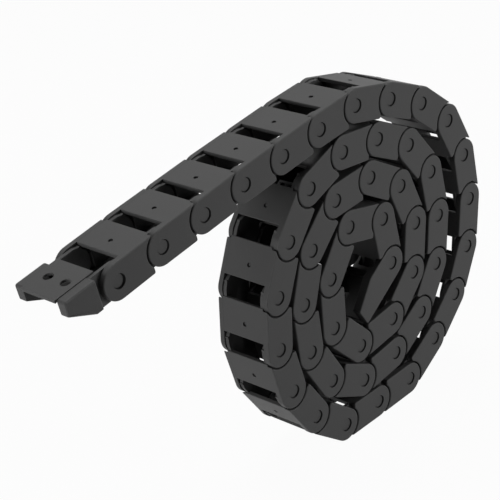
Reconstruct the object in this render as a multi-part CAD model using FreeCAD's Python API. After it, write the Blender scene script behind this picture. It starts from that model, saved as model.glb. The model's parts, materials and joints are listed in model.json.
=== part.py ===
import FreeCAD, Part
import math
import os

# A cable drag chain: 48 moulded nylon links between two end connectors, wound into a coil that stands
# on its rim. Millimetres. Y runs across the chain and Z is up. The link that carries the coil lies
# along X on the floor, and the origin is on the floor below the middle of the chain's box.

# Room for the cables, and the chain's pitch
pitch = 20.0                # from pin to pin
clear_width = 16.0          # between the inner ears
clear_height = 10.0         # between the crossbars

# Walls of a link
bar_thickness = 1.5         # crossbars on the outer and the inner side of the bend
inner_ear_thickness = 1.4   # ears with the pins
outer_ear_thickness = 2.2   # ears with the holes, and the side plates they belong to
side_gap = 0.2              # between an inner ear and the outer ear around it

# Pins and ears
pin_radius = 2.5
pin_clearance = 0.05        # radial play of a pin in its hole
pin_recess = 0.25           # a pin ends this far inside the side plate's face
ear_shortfall = 0.5         # an inner ear's radius is this much less than half the link's height
recess_gap = 0.6            # between a side plate's hollow end and the next link's round ear
plate_length = 14.6         # side plate, from its hole to the short upright edge below its hollow end
neck_gap = 0.7              # between the previous link's inner ear and the thick part of the wall

# Crossbars, by where they start and end along the link
outer_bar_start = 3.9
outer_bar_end = 17.6
inner_bar_start = 4.8
inner_bar_end = 15.2

# Lug on an inner ear that keeps a straight chain from bending backwards
lug_gap = 0.4               # between the lug and the next link's outer crossbar
lug_length = 1.3
lug_root = 1.5              # how deep the lug is rooted in the ear

# Connector at the loose tail, a bracket with inner ears
tail_front = -1.5           # front of the flanges; the pin is one pitch from zero
tail_plate_overhang = 0.7   # the screw plate stands this far out in front of the flanges
tail_plate_end = 14.5
tail_flange_end = 11.7
tail_front_low = 0.7        # lower end of the flange's front edge, above the pin line
tail_slant_end = 8.8        # where the slanting lower edge ends
tail_flange_low = 5.1       # the flange's flat lower edge, below the pin line
tail_corner = 0.7           # bevel at the front upper corner

# Connector at the coil's inner end, a bracket with outer ears
inner_end_length = 24.0     # from the pin to the free end
inner_taper_start = 11.8
inner_end_low = 1.3         # lower end of the free edge, below the pin line
inner_corner = 0.5          # bevel at the free upper corner

# Screw plates of both connectors
plate_thickness = 1.2
plate_drop = 0.3            # the plate lies this far under the flanges' upper edges
screw_hole_radius = 1.75
screw_spacing = 8.0
tail_screw_from_pin = 13.75
inner_screw_from_pin = 16.2

# The coil: how many degrees each joint is bent, from the tail to the inner end
tail_bends = [0, 1, 0, 1, 0, 2]
outer_turn_bends = [18, 11, 15, 24, 20, 16, 20, 20, 12, 29, 1, 37, 19, 20, 19, 19, 16, 30]
middle_turn_bends = [26, 20, 25, 29, 18, 26, 26, 23, 33, 33, 27, 23, 28]
inner_turn_bends = [39, 34, 37, 31, 38, 37, 52, 46, 36, 66, 67, 67]
turn_gap = 0.4              # least room between two turns
adjoining = 3               # turns are held apart from this many pins back
level_link = 17             # the link that lies level on the floor
upside_down = 180           # its outer side is below

# Sizes that follow
half_height = clear_height / 2 + bar_thickness
inner_face = clear_width / 2
ear_face = inner_face + inner_ear_thickness
plate_inside = ear_face + side_gap
outer_face = plate_inside + outer_ear_thickness
inner_ear_radius = half_height - ear_shortfall
recess_radius = half_height + recess_gap
neck_start = inner_ear_radius + neck_gap
neck_end = pitch - recess_radius
bends = tail_bends + outer_turn_bends + middle_turn_bends + inner_turn_bends
links = len(bends) - 1


def outline(start, *steps):
    """Closed face in the XZ plane. A step is a corner, or a pair for an arc: a point on it and its end."""
    edges = []
    here = start
    for step in steps + (start,):
        arc = isinstance(step[0], tuple)
        end = step[1] if arc else step
        points = [FreeCAD.Vector(x, 0, z) for x, z in ([here, step[0], end] if arc else [here, end])]
        edges.append((Part.Arc(*points) if arc else Part.LineSegment(*points)).toShape())
        here = end
    return Part.Face(Part.Wire(edges))


def both_sides(face, near, far):
    """The face made into a plate from near to far of the middle plane, on both sides of the chain."""
    plate = face.copy()
    plate.translate(FreeCAD.Vector(0, near, 0))
    plate = plate.extrude(FreeCAD.Vector(0, far - near, 0))
    return [plate, plate.mirror(FreeCAD.Vector(0, 0, 0), FreeCAD.Vector(0, 1, 0))]


def block(x0, x1, z0, z1):
    """Rectangular face in the XZ plane."""
    return outline((x0, z0), (x1, z0), (x1, z1), (x0, z1))


def across(face, reach):
    """The face made into a bar across the chain that reaches as far to each side."""
    bar = face.copy()
    bar.translate(FreeCAD.Vector(0, -reach, 0))
    return [bar.extrude(FreeCAD.Vector(0, 2 * reach, 0))]


def rods(x, radius, near, far):
    """A round rod on each side of the chain, across it."""
    length = far - near
    side = FreeCAD.Vector(0, 1, 0)
    return [
        Part.makeCylinder(radius, length, FreeCAD.Vector(x, near, 0), side),
        Part.makeCylinder(radius, length, FreeCAD.Vector(x, -near, 0), -side),
    ]


def joined(pieces):
    """One solid of touching pieces, with no seams between faces in one plane."""
    return pieces[0].fuse(pieces[1:]).removeSplitter()


def pinned_ears(start):
    """Inner ears around the pin at one pitch, with their pins and back-bend lugs, from start on."""
    r = inner_ear_radius
    ear = outline((start, r), (pitch, r), ((pitch + r, 0), (pitch, -r)), (start, -r))
    lug_reach = outer_bar_start - lug_gap
    lug_top = math.sqrt(half_height ** 2 - lug_reach ** 2)
    lug = block(pitch + lug_reach - lug_length, pitch + lug_reach, lug_top - lug_root, lug_top)
    pins = rods(pitch, pin_radius, ear_face, outer_face - pin_recess)
    return both_sides(ear, inner_face, ear_face) + both_sides(lug, inner_face, ear_face) + pins


def outer_holes():
    """Holes in the outer ears for the previous link's pins."""
    return rods(0, pin_radius + pin_clearance, inner_face, outer_face)


def bar(start, end, low, plate):
    """Crossbar between the side plates, narrower where it passes the plates' ends."""
    face = block(start, end, low, low + bar_thickness)
    return across(face.common(plate).Faces[0], plate_inside) + across(face, ear_face)


def link():
    """A link, with its hole at zero and its pins at one pitch."""
    h = half_height
    edge = math.sqrt(recess_radius ** 2 - (pitch - plate_length) ** 2)
    upper_end = pitch - math.sqrt(recess_radius ** 2 - h ** 2)
    plate = outline(
        (0, h), ((-h, 0), (0, -h)), (plate_length, -h), (plate_length, -edge), ((neck_end, 0), (upper_end, h)),
    )
    neck = block(neck_start, neck_end, -inner_ear_radius, inner_ear_radius)
    pieces = both_sides(plate, plate_inside, outer_face)
    pieces += both_sides(neck, inner_face, plate_inside) + pinned_ears(neck_end)
    pieces += bar(outer_bar_start, outer_bar_end, h - bar_thickness, plate)
    pieces += bar(inner_bar_start, inner_bar_end, -h, plate)
    return joined(pieces).cut(outer_holes())


def screw_plate(start, end, screw_x):
    """Plate between a connector's flanges with its two screw holes."""
    top = half_height - plate_drop
    plate = across(block(start, end, top - plate_thickness, top), inner_face)[0]
    below = FreeCAD.Vector(screw_x, 0, top - plate_thickness)
    for side in (-1, 1):
        spot = below + FreeCAD.Vector(0, side * screw_spacing / 2, 0)
        plate = plate.cut(Part.makeCylinder(screw_hole_radius, plate_thickness, spot))
    return plate


def tail_connector():
    """Bracket at the loose end, open below, with the first pins at one pitch."""
    h = half_height
    flange = outline(
        (tail_front, tail_front_low), (tail_slant_end, -tail_flange_low), (tail_flange_end, -tail_flange_low),
        (tail_flange_end, h), (tail_front + tail_corner, h), (tail_front, h - tail_corner),
    )
    pieces = both_sides(flange, inner_face, outer_face) + pinned_ears(tail_slant_end)
    pieces.append(screw_plate(tail_front - tail_plate_overhang, tail_plate_end, pitch - tail_screw_from_pin))
    return joined(pieces)


def inner_connector():
    """Bracket at the coil's inner end, open below, with its holes at zero."""
    h = half_height
    end = inner_end_length
    plate = outline(
        (0, h), ((-h, 0), (0, -h)), (inner_taper_start, -h), (end, -inner_end_low),
        (end, h - inner_corner), (end - inner_corner, h),
    )
    wall = plate.common(block(neck_start, end, -h, h))
    pieces = both_sides(plate, plate_inside, outer_face) + both_sides(wall, inner_face, plate_inside)
    pieces += across(block(outer_bar_start, neck_start, h - bar_thickness, h), plate_inside)
    pieces.append(screw_plate(neck_start, end, inner_screw_from_pin))
    return joined(pieces).cut(outer_holes())


def apart(a, b, c, d):
    """Least distance between the line from a to b and the line from c to d, in the XZ plane."""
    first = Part.LineSegment(a, b).toShape()
    return first.distToShape(Part.LineSegment(c, d).toShape())[0]


def wind():
    """Pin positions and link directions, laid from the inner end outwards.

    Each joint takes its listed bend, or as much of it as leaves the turn gap to the turn inside."""
    pins = [FreeCAD.Vector(inner_end_length - half_height, 0, 0), FreeCAD.Vector(0, 0, 0)]
    angles = [0.0]
    for listed in reversed(bends[1:]):
        bend = listed
        clear = False
        while not clear:
            angle = math.radians(angles[-1] + bend)
            pin = pins[-1] - FreeCAD.Vector(math.cos(angle), 0, math.sin(angle)) * pitch
            inside = zip(pins[:-adjoining], pins[1:])
            clear = all(apart(pin, pins[-1], *turn) >= 2 * half_height + turn_gap for turn in inside)
            bend -= 0 if clear else 1
        pins.append(pin)
        angles.append(angles[-1] + bend)
    angles.append(angles[-1] + bends[0])
    return pins[:0:-1], angles[::-1]


def placed(shape, pin, angle, level):
    """The shape with its zero at the pin and turned by its angle, after the coil is turned level."""
    turn = FreeCAD.Rotation(FreeCAD.Vector(0, 1, 0), level - angle)
    spot = FreeCAD.Rotation(FreeCAD.Vector(0, 1, 0), level).multVec(pin)
    moved = shape.copy()
    moved.Placement = FreeCAD.Placement(spot, turn).multiply(shape.Placement)
    return moved


# The tail connector's direction comes first, then one for each link, and the inner connector's last
pins, angles = wind()
level = angles[level_link] - upside_down
one_link = link()
parts = {}
for number in range(1, links + 1):
    parts[f"link_{number:02d}"] = placed(one_link, pins[number - 1], angles[number], level)
parts["inner_end_connector"] = placed(inner_connector(), pins[links], angles[-1], level)
tail = tail_connector()
tail.translate(FreeCAD.Vector(-pitch, 0, 0))
parts["tail_end_connector"] = placed(tail, pins[0], angles[0], level)

box = Part.makeCompound(list(parts.values())).optimalBoundingBox(False)
to_origin = FreeCAD.Vector(-(box.XMin + box.XMax) / 2, 0, -box.ZMin)
os.makedirs("parts", exist_ok=True)
for name, shape in parts.items():
    shape.translate(to_origin)
    shape.exportStep(f"parts/{name}.step")
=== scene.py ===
import json
import bpy
import numpy as np
from mathutils import Matrix, Vector


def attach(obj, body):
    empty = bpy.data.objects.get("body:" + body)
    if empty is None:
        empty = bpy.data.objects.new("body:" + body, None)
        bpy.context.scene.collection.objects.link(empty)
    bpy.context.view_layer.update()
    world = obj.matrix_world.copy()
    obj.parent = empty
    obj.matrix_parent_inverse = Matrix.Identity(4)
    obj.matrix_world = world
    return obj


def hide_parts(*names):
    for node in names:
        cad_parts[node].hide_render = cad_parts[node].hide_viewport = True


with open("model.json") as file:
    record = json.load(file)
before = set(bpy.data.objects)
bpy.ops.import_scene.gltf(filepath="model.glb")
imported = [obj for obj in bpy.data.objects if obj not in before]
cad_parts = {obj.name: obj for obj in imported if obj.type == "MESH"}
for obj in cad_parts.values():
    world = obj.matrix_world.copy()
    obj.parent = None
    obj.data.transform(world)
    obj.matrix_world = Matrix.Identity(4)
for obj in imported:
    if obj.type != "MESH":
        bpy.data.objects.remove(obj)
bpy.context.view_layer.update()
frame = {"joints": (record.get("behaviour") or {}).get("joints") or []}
bpy.context.scene.view_settings.view_transform = "Standard"

# ---- Chain links ----
# Each link is one moulding of black nylon: two side plates with a round ear and a hole, two inner ears
# with pins that snap into the next link's holes, and two crossbars that close the cable channel.
# Millimetres in the link's own frame: hole at zero, pins one pitch along x, outside of the bend +z.
pitch = 20.0
half_height = 6.5
inner_face = 8.0
ear_face = 9.4
plate_inside = 9.6
outer_face = 11.8
plate_end = 14.6
plate_corner = 0.7
lower_tip = 0.55
upper_tip = 0.12
plate_edge = 0.5
fine_edge = 0.04
soft_edge = 0.25
small_corner = 0.1
overlap = 0.02
ear_radius = 6.0
recess_radius = 7.1
hole_radius = 2.6
hole_edge = 0.1
pin_radius = 2.35
pin_face = 11.3
pin_edge = 0.15
pin_root = 0.3
pin_points = 32
neck_start = 6.7
neck_end = 12.9
neck_roots = (0.3, 0.05)
bar_thickness = 1.5
bar_reach = 9.59
outer_bar = (3.9, 17.6)
inner_bar = (4.8, 15.2)
gate_spot = (9.3, -0.7)
gate_radius = 0.8
gate_depth = 0.55
gate_edge = 0.12
lug = (22.2, 23.5, 3.98, 5.48)
lug_corner = 0.2
# Paler edge mark's strength: a painted highlight along the rounded edges, which also stands for scuffing from
# handling.
edge_highlight_and_wear_strength = 1.6
metres = 0.001


def arc(x, z, radius, start, end, count):
    """Points on a circle about (x, z) between two angles in degrees, with outward normals.

    A negative radius is a hollow arc, whose normals point at its centre."""
    angle = np.radians(np.linspace(start, end, count))
    way = np.stack([np.cos(angle), np.sin(angle)], axis=1)
    soft = np.ones((count, 1))
    return np.hstack([np.array([x, z]) + abs(radius) * way, np.sign(radius) * way, soft])


def edge(start, end, count, soft=1.0):
    """Evenly spaced points inside the straight run from start to end, whose outward side is on its right."""
    start, end = np.array(start, float), np.array(end, float)
    share = np.arange(1, count + 1)[:, None] / (count + 1)
    way = (end - start) / np.linalg.norm(end - start)
    normal = np.tile([way[1], -way[0], soft], (count, 1))
    return np.hstack([start + share * (end - start), normal])


def rounding(radius, steps):
    """Quarter circle in (inset, depth, side part of the normal, face part of the normal) rows.

    Inset is radius times (1 - sin t) and depth radius times (1 - cos t), for t from the face to the side."""
    t = np.linspace(0, np.pi / 2, steps + 1)
    return np.stack([radius * (1 - np.sin(t)), radius * (1 - np.cos(t)), np.sin(t), np.cos(t)], axis=1)


def slab(outline, low, high, low_edge, high_edge, steps=(3, 3), centre=None, bore=()):
    """Outline carried through a slab's thickness, with rounded edges: rings of points, one per row.

    A ring is the outline minus inset times its normal, at the row's depth, or, where the outline is a
    function, its rows at that inset. Bore rows (radius, depth, normal towards the axis, normal along it)
    carry the rings on into a hole about the centre. The paler edge mark, a painted highlight along the
    rounded edges that also stands for scuffing from handling, is the smaller part of the normal, so it is
    greatest half way round an edge."""
    lower, upper = rounding(low_edge, steps[0]), rounding(high_edge, steps[1])[::-1]
    inset = np.concatenate([lower[:, 0], upper[:, 0]])
    depth = np.concatenate([low + lower[:, 1], high - upper[:, 1]])
    side = np.concatenate([lower[:, 2], upper[:, 2]])
    face = np.concatenate([-lower[:, 3], upper[:, 3]])
    if callable(outline):
        rings = np.stack([outline(value) for value in inset])[..., :4]
    else:
        moved = outline[None, :, :2] - inset[:, None, None] * outline[None, :, 4:5] * outline[None, :, 2:4]
        rings = np.concatenate([moved, np.broadcast_to(outline[None, :, 2:4], moved.shape)], axis=2)
    count = rings.shape[1]
    points = np.empty((len(depth), count, 3))
    points[..., :2] = rings[..., :2]
    points[..., 2] = depth[:, None]
    normals = np.empty_like(points)
    normals[..., :2] = side[:, None, None] * rings[..., 2:4]
    normals[..., 2] = face[:, None]
    # Paler edge mark along the rounded edges: painted highlight, also standing for scuffing.
    highlight_and_wear = np.repeat(np.minimum(side, np.abs(face)) * edge_highlight_and_wear_strength, count).reshape(len(depth), count)
    if len(bore):
        bore = np.array(bore, float)
        way = rings[-1, :, :2] - np.array(centre)
        way = way / np.linalg.norm(way, axis=1)[:, None]
        rings = np.empty((len(bore), count, 3))
        rings[..., :2] = np.array(centre) + bore[:, 0][:, None, None] * way
        rings[..., 2] = bore[:, 1][:, None]
        turned = np.empty_like(rings)
        turned[..., :2] = -bore[:, 2][:, None, None] * way
        turned[..., 2] = bore[:, 3][:, None]
        points, normals = np.concatenate([points, rings]), np.concatenate([normals, turned])
        highlight_and_wear = np.concatenate([highlight_and_wear, np.zeros(rings.shape[:2])])
    return points, normals, highlight_and_wear


def skin(rings, closed=False, swap=False):
    """Vertices, normals, wear and faces of a ring surface; quads join neighbouring rings.

    A closed surface joins its last ring to its first, and an open one has a flat face on each end ring.
    Swapped, the slab's depth runs along z and not along y. Faces are turned to agree with the normals."""
    points, normals, highlight_and_wear = rings
    rows, count = highlight_and_wear.shape
    order = [0, 1, 2] if swap else [0, 2, 1]
    points, normals = points[..., order], normals[..., order]
    row = np.arange(rows if closed else rows - 1)[:, None]
    column = np.arange(count)[None, :]
    after = (row + 1) % rows
    next_column = (column + 1) % count
    quads = np.stack([row * count + column, row * count + next_column,
                      after * count + next_column, after * count + column], axis=-1).reshape(-1, 4)
    flat = points.reshape(-1, 3)
    corner = flat[quads]
    facing = np.cross(corner[:, 2] - corner[:, 0], corner[:, 3] - corner[:, 1])
    agree = (facing * normals.reshape(-1, 3)[quads].sum(axis=1)).sum() > 0
    faces = (quads if agree else quads[:, ::-1]).tolist()
    if not closed:
        ends = [list(range(count))[::-1], list(range((rows - 1) * count, rows * count))]
        faces += ends if agree else [end[::-1] for end in ends]
    return flat, normals.reshape(-1, 3), highlight_and_wear.ravel(), faces


def other_side(surface):
    """The same surface on the other side of the chain, mirrored in y, with its faces turned back outwards."""
    points, normals, highlight_and_wear, faces = surface
    mirror = np.array([1, -1, 1])
    return points * mirror, normals * mirror, highlight_and_wear, [face[::-1] for face in faces]


def together(surfaces):
    """Several surfaces as one, with their faces counted on."""
    starts = np.cumsum([0] + [len(surface[0]) for surface in surfaces])
    faces = [[start + point for point in face]
             for start, surface in zip(starts, surfaces) for face in surface[3]]
    return [np.concatenate([surface[part] for surface in surfaces]) for part in range(3)] + [faces]


def both(surface):
    """The surface and its mirror image."""
    return [surface, other_side(surface)]


def hole_rows(low, high):
    """Rows of a through hole from the high face to the low one, with a small chamfer at each end."""
    return [(hole_radius + hole_edge, high, 0, 1), (hole_radius, high - hole_edge, 1, 0),
            (hole_radius, low + hole_edge, 1, 0), (hole_radius + hole_edge, low, 0, -1)]


def pinned_ears(start, pin_end):
    """Inner ears from start on, with the small lugs that stop the chain bending backwards, and with their
    pins, which reach out to the pin's end."""
    r = small_corner
    ear = np.vstack([
        edge((start, -ear_radius), (pitch, -ear_radius), 2),
        arc(pitch, 0, ear_radius, -90, 90, 25),
        edge((pitch, ear_radius), (start, ear_radius), 2),
        arc(start + r, ear_radius - r, r, 90, 180, 2),
        arc(start + r, r - ear_radius, r, 180, 270, 2),
    ])
    pin = arc(pitch, 0, pin_radius, 0, 360 - 360 / pin_points, pin_points)
    x0, x1, z0, z1 = lug
    stop = np.vstack([
        arc(x0 + r, z0 + r, r, 180, 270, 2), arc(x1 - r, z0 + r, r, 270, 360, 2),
        arc(x1 - lug_corner, z1 - lug_corner, lug_corner, 0, 90, 3),
        arc(x0 + lug_corner, z1 - lug_corner, lug_corner, 90, 180, 3),
    ])
    surfaces = both(skin(slab(ear, inner_face, ear_face, soft_edge, fine_edge)))
    surfaces += both(skin(slab(pin, ear_face - pin_root, pin_end, fine_edge, pin_edge, steps=(1, 2))))
    surfaces += both(skin(slab(stop, inner_face + overlap, ear_face - overlap, r, r, steps=(1, 1))))
    return surfaces


def crossbar(start, end, low, high, marked):
    """Crossbar between the side plates, with its long edges rounded and its ends square against the plates.

    A marked bar has a gate mark on its upper face: a round pit with a soft rim."""
    low_end, low_start = (end, -bar_reach), (start, -bar_reach)
    high_end, high_start = (end, bar_reach), (start, bar_reach)
    outline = np.vstack([
        [*low_end, 1, 0, 1], edge(low_end, high_end, 7),
        [*high_end, 1, 0, 1], edge(high_end, high_start, 7, soft=0),
        [*high_start, -1, 0, 1], edge(high_start, low_start, 7),
        [*low_start, -1, 0, 1], edge(low_start, low_end, 7, soft=0),
    ])
    pit = [(gate_radius + gate_edge, high, 0, 1), (gate_radius, high - gate_edge, 1, 0),
           (gate_radius, high - gate_depth, 1, 0.1), (gate_edge, high - gate_depth, 0, 1)]
    rings = slab(outline, low, high, soft_edge, soft_edge, centre=gate_spot, bore=pit if marked else ())
    return skin(rings, swap=True)


def plate_outline(inset):
    """Side plate's outline moved inwards by the inset.

    Its hollow end is a circle about the next pin. Both tips of the hollow are small circles that touch it
    from outside, so a tip's centre is as far from the pin as both radii together."""
    h, reach, corner = half_height - inset, recess_radius + inset, plate_corner - inset
    low_x = plate_end - lower_tip
    low_lean = np.degrees(np.arccos((pitch - low_x) / (recess_radius + lower_tip)))
    low_z = -(recess_radius + lower_tip) * np.sin(np.radians(low_lean))
    high_z = h - upper_tip
    high_lean = np.degrees(np.arcsin(high_z / (reach + upper_tip)))
    high_x = pitch - (reach + upper_tip) * np.cos(np.radians(high_lean))
    return np.vstack([
        edge((0, -h), (plate_end - plate_corner, -h), 7),
        arc(plate_end - plate_corner, plate_corner - half_height, corner, 270, 360, 4),
        arc(low_x, low_z, lower_tip - inset, 0, low_lean, 4),
        arc(pitch, 0, -reach, 180 + low_lean, 180 - high_lean, 19)[1:-1],
        arc(high_x, high_z, upper_tip, -high_lean, 90, 5),
        edge((high_x, h), (0, h), 7), arc(0, 0, h, 90, 270, 25),
    ])


def side_plate():
    """Side plate with its round ear and hole, and the hollow end that makes room for the next link's ear."""
    rings = slab(plate_outline, plate_inside, outer_face, fine_edge, plate_edge, steps=(1, 4), centre=(0, 0),
                 bore=hole_rows(plate_inside, outer_face))
    return skin(rings, closed=True)


def link_surface():
    """A whole link in its own frame, with a gate mark on its outer crossbar."""
    h, r = half_height, small_corner
    neck = np.vstack([
        arc(neck_start + r, r - ear_radius, r, 180, 270, 2),
        arc(neck_end - r, r - ear_radius, r, 270, 360, 2),
        arc(neck_end - r, ear_radius - r, r, 0, 90, 2),
        arc(neck_start + r, ear_radius - r, r, 90, 180, 2),
    ])
    neck_rings = slab(neck, inner_face + neck_roots[0], plate_inside + neck_roots[1], fine_edge, fine_edge,
                      steps=(1, 1))
    surfaces = both(side_plate()) + both(skin(neck_rings)) + pinned_ears(neck_start, pin_face)
    surfaces.append(crossbar(*outer_bar, h - bar_thickness, h - overlap, True))
    surfaces.append(crossbar(*inner_bar, overlap - h, bar_thickness - h, False))
    return together(surfaces)


# Black nylon, moulded against finely eroded steel: satin, a little uneven, and lighter on its rounded edges,
# a painted highlight that also stands for scuffing from handling
def group_of(name, inputs, outputs):
    """An empty shader node group with named inputs and outputs."""
    group = bpy.data.node_groups.new(name, "ShaderNodeTree")
    for label, kind, value in inputs:
        socket = group.interface.new_socket(label, in_out="INPUT", socket_type=kind)
        if value is not None:
            socket.default_value = value
    for label, kind in outputs:
        group.interface.new_socket(label, in_out="OUTPUT", socket_type=kind)
    return group, group.nodes.new("NodeGroupInput"), group.nodes.new("NodeGroupOutput")


def moulded_grain():
    """Fine eroded grain as a height and slow clouding as a mask: noise of the place at two scales."""
    group, given, out = group_of(
        "moulded_grain",
        [("Vector", "NodeSocketVector", None), ("Grain size", "NodeSocketFloat", 2600.0),
         ("Cloud size", "NodeSocketFloat", 60.0)],
        [("Height", "NodeSocketFloat"), ("Cloud", "NodeSocketFloat")])
    for label, detail, target in (("Grain size", 2.0, "Height"), ("Cloud size", 4.0, "Cloud")):
        noise = group.nodes.new("ShaderNodeTexNoise")
        noise.inputs["Detail"].default_value = detail
        group.links.new(given.outputs["Vector"], noise.inputs["Vector"])
        group.links.new(given.outputs[label], noise.inputs["Scale"])
        group.links.new(noise.outputs["Fac"], out.inputs[target])
    return group


def highlighted_and_worn_edges():
    """Mask of the rounded edges for the paler edge mark, a painted highlight that also stands for scuffing:
    the edge value times noise that is spread from its middle range.
    """
    group, given, out = group_of(
        "highlighted_and_worn_edges",
        [("Vector", "NodeSocketVector", None), ("Edge", "NodeSocketFloat", 0.0),
         ("Patch size", "NodeSocketFloat", 220.0)],
        [("Highlight_and_wear", "NodeSocketFloat")])
    noise = group.nodes.new("ShaderNodeTexNoise")
    noise.inputs["Detail"].default_value = 3.0
    spread = group.nodes.new("ShaderNodeMapRange")
    spread.inputs["From Min"].default_value = 0.35
    spread.inputs["From Max"].default_value = 0.65
    spread.inputs["To Min"].default_value = 0.45
    times = group.nodes.new("ShaderNodeMath")
    times.operation = "MULTIPLY"
    group.links.new(given.outputs["Vector"], noise.inputs["Vector"])
    group.links.new(given.outputs["Patch size"], noise.inputs["Scale"])
    group.links.new(noise.outputs["Fac"], spread.inputs["Value"])
    group.links.new(spread.outputs["Result"], times.inputs[0])
    group.links.new(given.outputs["Edge"], times.inputs[1])
    group.links.new(times.outputs["Value"], out.inputs["Highlight_and_wear"])
    return group


grain_group = moulded_grain()
highlight_and_wear_group = highlighted_and_worn_edges()


def nylon(name, dark, pale, edge_highlight_and_wear_tone, roughness, grain_depth):
    """Black nylon: dark and pale clouds of grey, paler rounded edges that are a painted highlight and also
    stand for scuffing, and a grain bump.
    """
    material = bpy.data.materials.new(name)
    material.use_nodes = True
    nodes, links = material.node_tree.nodes, material.node_tree.links
    shader = nodes["Principled BSDF"]
    place = nodes.new("ShaderNodeTexCoord")
    grain = nodes.new("ShaderNodeGroup")
    grain.node_tree = grain_group
    highlight_and_wear_mask = nodes.new("ShaderNodeGroup")
    highlight_and_wear_mask.node_tree = highlight_and_wear_group
    # Attribute of the paler edge mark: a painted highlight on rounded edges, also standing for scuffing.
    highlight_and_wear = nodes.new("ShaderNodeAttribute")
    highlight_and_wear.attribute_name = "highlight_and_wear"
    tone = nodes.new("ShaderNodeMix")
    tone.data_type = "RGBA"
    tone.inputs["A"].default_value = (dark, dark, dark, 1)
    tone.inputs["B"].default_value = (pale, pale, pale, 1)
    highlight_and_wear_tone = nodes.new("ShaderNodeMix")
    highlight_and_wear_tone.data_type = "RGBA"
    highlight_and_wear_tone.inputs["B"].default_value = (edge_highlight_and_wear_tone, edge_highlight_and_wear_tone, edge_highlight_and_wear_tone, 1)
    rough = nodes.new("ShaderNodeMapRange")
    rough.inputs["To Min"].default_value = roughness[0]
    rough.inputs["To Max"].default_value = roughness[1]
    bump = nodes.new("ShaderNodeBump")
    bump.inputs["Strength"].default_value = 0.35
    bump.inputs["Distance"].default_value = grain_depth
    links.new(place.outputs["Object"], grain.inputs["Vector"])
    links.new(place.outputs["Object"], highlight_and_wear_mask.inputs["Vector"])
    links.new(highlight_and_wear.outputs["Fac"], highlight_and_wear_mask.inputs["Edge"])
    links.new(grain.outputs["Cloud"], tone.inputs["Factor"])
    links.new(tone.outputs["Result"], highlight_and_wear_tone.inputs["A"])
    links.new(highlight_and_wear_mask.outputs["Highlight_and_wear"], highlight_and_wear_tone.inputs["Factor"])
    links.new(highlight_and_wear_tone.outputs["Result"], shader.inputs["Base Color"])
    links.new(grain.outputs["Cloud"], rough.inputs["Value"])
    links.new(rough.outputs["Result"], shader.inputs["Roughness"])
    links.new(grain.outputs["Height"], bump.inputs["Height"])
    links.new(bump.outputs["Normal"], shader.inputs["Normal"])
    shader.inputs["Specular IOR Level"].default_value = 0.15
    return material


grain_depth = 0.00006
# Third tone: the paler rounded edges, a painted highlight that also stands for scuffing.
link_nylon = nylon("link_nylon", 0.043, 0.055, 0.066, (0.42, 0.6), grain_depth)

joints = sorted(frame["joints"], key=lambda joint: joint["name"])
pins = [np.array(joint["pos_m"]) for joint in joints]


def heading(start, end):
    """Angle about y of the way from start to end, up from the x axis."""
    run = end - start
    return np.arctan2(run[2], run[0])


def placed(surface, name, node, hole, angle, material):
    """The surface as an object in place: turned by its angle about y and moved to its hole, in metres."""
    points, normals, highlight_and_wear, faces = surface
    along = np.array([np.cos(angle), 0, np.sin(angle)])
    outward = np.array([-np.sin(angle), 0, np.cos(angle)])
    turn = np.stack([along, [0, 1, 0], outward])
    mesh = bpy.data.meshes.new(name)
    mesh.from_pydata(np.zeros((len(points), 3)), [], faces)
    mesh.vertices.foreach_set("co", (points * metres @ turn + hole).astype(np.float32).ravel())
    # Paler edge mark stored on the mesh: painted highlight along rounded edges, also scuffing.
    highlight_and_wear_mask = mesh.attributes.new("highlight_and_wear", "FLOAT", "POINT")
    highlight_and_wear_mask.data.foreach_set("value", np.minimum(highlight_and_wear, 1).astype(np.float32))
    mesh.polygons.foreach_set("use_smooth", np.ones(len(faces), bool))
    mesh.materials.append(material)
    mesh.update()
    mesh.normals_split_custom_set_from_vertices((normals @ turn).tolist())
    piece = bpy.data.objects.new(name, mesh)
    bpy.context.scene.collection.objects.link(piece)
    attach(piece, node)
    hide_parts(node)
    return piece


link = link_surface()
for number in range(1, len(pins)):
    placed(link, f"nylon_link_{number:02d}", f"link_{number:02d}", pins[number - 1],
           heading(pins[number - 1], pins[number]), link_nylon)

# ---- Connector at the loose tail ----
# A moulded bracket that screws to the machine: two thick flanges joined by a plate with two screw holes,
# open below, with inner ears and pins like a link's. The same nylon as the links, with softer edges.
tail_front = -1.5
tail_front_low = 0.7
tail_slant_end = 8.8
tail_flange_low = -5.1
tail_flange_end = 11.7
tail_plate = (-2.16, 14.5)
tail_screw = 6.25
tail_pin_face = 11.0
flange_top = 6.25
flange_corners = [0.5, 0.6, 0.5, 1.0, 0.9]
flange_edges = (0.3, 0.7)
plate_top = 6.48
plate_thickness = 1.2
screw_radius = 1.75
screw_side = 4.0
screw_edge = 0.2
screw_plate_edge = 0.06


def corners(points, radii, counts):
    """Outline of straight runs with rounded corners; the points go round with the inside on the left.

    Each corner's arc touches both runs at radius times the tangent of half the turn from the corner."""
    rows = []
    neighbours = zip(points[-1:] + points[:-1], points, points[1:] + points[:1])
    for (before, here, after), radius, count in zip(neighbours, radii, counts):
        into = np.array(here, float) - before
        away = np.array(after, float) - here
        start = np.degrees(np.arctan2(into[1], into[0])) - 90
        turn = (np.degrees(np.arctan2(away[1], away[0])) - 90 - start + 180) % 360 - 180
        first = np.array(here) - into / np.linalg.norm(into) * radius * np.tan(np.radians(turn / 2))
        normal = np.array([np.cos(np.radians(start)), np.sin(np.radians(start))])
        rows.append(arc(*(first - radius * normal), radius, start, start + turn, count))
    return np.vstack(rows)


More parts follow.
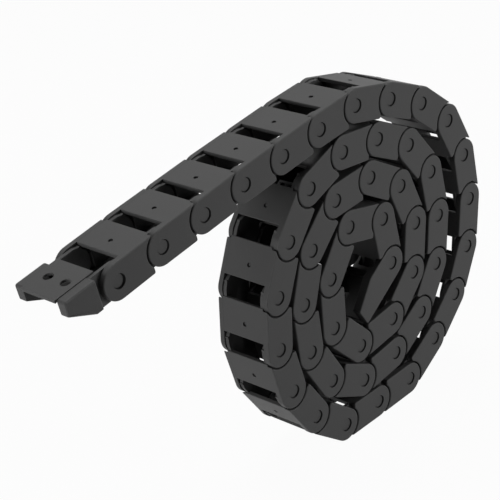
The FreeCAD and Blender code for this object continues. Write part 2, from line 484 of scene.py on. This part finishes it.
def screw_plate(start, end, screw_x):
    """Plate with two screw holes: a half round each hole, which meet in the middle without an edge."""
    wide, r = inner_face + overlap, screw_plate_edge
    low, high = plate_top - plate_thickness, plate_top
    outline = np.vstack([
        edge((start, 0), (end, 0), 9, soft=0), [end, 0, 1, 0, 1], edge((end, 0), (end, wide - r), 5),
        arc(end - r, wide - r, r, 0, 90, 3), edge((end, wide), (start, wide), 9),
        arc(start + r, wide - r, r, 90, 180, 3), edge((start, wide - r), (start, 0), 5), [start, 0, -1, 0, 1],
    ])
    rows = [(screw_radius + screw_edge, high, 0, 1), (screw_radius, high - screw_edge, 1, 0),
            (screw_radius, low + screw_edge, 1, 0), (screw_radius + screw_edge, low, 0, -1)]
    rings = slab(outline, low, high, soft_edge, screw_plate_edge, centre=(screw_x, screw_side), bore=rows)
    return both(skin(rings, closed=True, swap=True))


def tail_surface():
    """The tail connector in the frame of the link that it stands in for."""
    flange = corners(
        [(tail_front, tail_front_low), (tail_slant_end, tail_flange_low), (tail_flange_end, tail_flange_low),
         (tail_flange_end, flange_top), (tail_front, flange_top)],
        flange_corners, [4, 3, 3, 5, 5])
    surfaces = both(skin(slab(flange, inner_face, outer_face, *flange_edges, steps=(2, 4))))
    surfaces += pinned_ears(tail_slant_end, tail_pin_face)
    return together(surfaces + screw_plate(*tail_plate, tail_screw))


# Third tone: the paler rounded edges, a painted highlight that also stands for scuffing.
connector_nylon = nylon("connector_nylon", 0.043, 0.055, 0.068, (0.4, 0.55), grain_depth)
angle = heading(pins[0], pins[1])
tail_zero = pins[0] - pitch * metres * np.array([np.cos(angle), 0, np.sin(angle)])
placed(tail_surface(), "nylon_tail_connector", "tail_end_connector", tail_zero, angle, connector_nylon)

# ---- Connector at the coil's inner end ----
# The matching bracket with outer ears and holes, which takes the last link's pins. Its side plates taper
# towards the free end, and its plate has the same two screw holes.
inner_length = 24.0
inner_taper = 11.8
inner_end_low = -1.3
inner_screw = 16.2
inner_corners = (4, 0.7)
wall_inset = (0.3, 0.1, 0.2)
wall_corner = 0.2
inner_bar_end = 7.2


def inner_surface():
    """The inner connector in its own frame, with its holes at zero.

    The rounded lower taper goes in between straight runs, so its list of corners loses its first and last."""
    h, end = half_height, inner_length
    taper_corner, end_corner = inner_corners
    plate = np.vstack([
        edge((0, -h), (inner_taper - 1, -h), 6),
        corners([(0, -h), (inner_taper, -h), (end, inner_end_low), (end, h), (0, h)],
                [small_corner, taper_corner, end_corner, end_corner, small_corner], [1, 5, 5, 5, 1])[1:-1],
        edge((end - 1, h), (0, h), 8), arc(0, 0, h, 90, 270, 25),
    ])
    below, above, slanted = wall_inset
    wall = corners(
        [(neck_start, -h + below), (inner_taper, -h + below), (end - above, inner_end_low + slanted),
         (end - above, h - above), (neck_start, h - above)], [wall_corner] * 5, [3] * 5)
    plate_rings = slab(plate, plate_inside, outer_face, fine_edge, plate_edge, steps=(1, 4), centre=(0, 0),
                       bore=hole_rows(plate_inside, outer_face))
    surfaces = both(skin(plate_rings, closed=True))
    surfaces += both(skin(slab(wall, inner_face, plate_inside + below, soft_edge, fine_edge, steps=(2, 1))))
    bar = corners([(outer_bar[0], -plate_inside), (inner_bar_end, -plate_inside),
                   (inner_bar_end, plate_inside), (outer_bar[0], plate_inside)], [wall_corner] * 4, [3] * 4)
    surfaces.append(skin(slab(bar, h - bar_thickness, h - overlap, soft_edge, soft_edge), swap=True))
    return together(surfaces + screw_plate(neck_start, end, inner_screw))


angle = heading(pins[-2], pins[-1]) + np.radians(joints[-1]["range_deg"][0])
placed(inner_surface(), "nylon_inner_connector", "inner_end_connector", pins[-1], angle, connector_nylon)

# ---- Floor, light and camera ----
# A plain white floor and three soft boxes: above, low on the left for the coil's flank, and in front for
# the side plates. The camera's place and lens come from the pins' places in the photograph.
def background_rays(nodes, links):
    """One for camera, glossy and transmission rays, which show the background, and zero for all others."""
    seen = nodes.new("ShaderNodeLightPath")
    total = seen.outputs["Is Camera Ray"]
    for ray in ("Is Glossy Ray", "Is Transmission Ray"):
        larger = nodes.new("ShaderNodeMath")
        larger.operation = "MAXIMUM"
        links.new(total, larger.inputs[0])
        links.new(seen.outputs[ray], larger.inputs[1])
        total = larger.outputs["Value"]
    return total


floor = bpy.data.meshes.new("studio_floor")
floor.from_pydata([(-3, -3, 0), (3, -3, 0), (3, 3, 0), (-3, 3, 0)], [], [(0, 1, 2, 3)])
paper = bpy.data.materials.new("white_paper")
paper.use_nodes = True
nodes, links = paper.node_tree.nodes, paper.node_tree.links
nodes["Principled BSDF"].inputs["Base Color"].default_value = (0.5, 0.5, 0.5, 1)
nodes["Principled BSDF"].inputs["Roughness"].default_value = 0.9
glow = nodes.new("ShaderNodeEmission")
glow.inputs["Color"].default_value = (1, 1, 1, 1)
blend = nodes.new("ShaderNodeMixShader")
share = nodes.new("ShaderNodeMath")
share.operation = "MULTIPLY"
share.inputs[1].default_value = 0.96
links.new(background_rays(nodes, links), share.inputs[0])
links.new(share.outputs["Value"], blend.inputs["Fac"])
links.new(nodes["Principled BSDF"].outputs["BSDF"], blend.inputs[1])
links.new(glow.outputs["Emission"], blend.inputs[2])
links.new(blend.outputs["Shader"], nodes["Material Output"].inputs["Surface"])
floor.materials.append(paper)
floor_object = bpy.data.objects.new("studio_floor", floor)
bpy.context.scene.collection.objects.link(floor_object)

world = bpy.data.worlds.new("studio")
bpy.context.scene.world = world
world.use_nodes = True
nodes, links = world.node_tree.nodes, world.node_tree.links
back = nodes["Background"]
back.inputs["Color"].default_value = (1, 1, 1, 1)
level = nodes.new("ShaderNodeMapRange")
level.inputs["To Min"].default_value = 0.02
level.inputs["To Max"].default_value = 1.0
links.new(background_rays(nodes, links), level.inputs["Value"])
links.new(level.outputs["Result"], back.inputs["Strength"])


def lamp(name, place, aim, size, power):
    """A square soft box at place, pointed at aim."""
    light = bpy.data.lights.new(name, "AREA")
    light.size = size
    light.energy = power
    box = bpy.data.objects.new(name, light)
    box.location = place
    away = np.array(place, float) - np.array(aim, float)
    box.rotation_euler = Vector(away).to_track_quat("Z", "Y").to_euler()
    bpy.context.scene.collection.objects.link(box)


coil_middle = (0, 0, 0.07)
lamp("top_box", (0.2, 0.2, 0.9), coil_middle, 0.6, 5.9)
lamp("left_box", (-0.9, 0.1, 0.11), coil_middle, 0.2, 4.8)
lamp("front_box", (0.55, -0.95, 0.25), coil_middle, 0.4, 6.3)

view = bpy.data.cameras.new("photo_view")
view.sensor_width = 36.0
view.lens = 109.3225
view.clip_start = 0.01
camera = bpy.data.objects.new("photo_view", view)
camera.matrix_world = Matrix((
    (0.66919632, 0.37845506, -0.63949046, -0.35223),
    (-0.73703253, 0.22842572, -0.63608548, -0.33624),
    (-0.09465370, 0.89699134, 0.43179535, 0.31860),
    (0, 0, 0, 1),
))
bpy.context.scene.collection.objects.link(camera)
bpy.context.scene.camera = camera
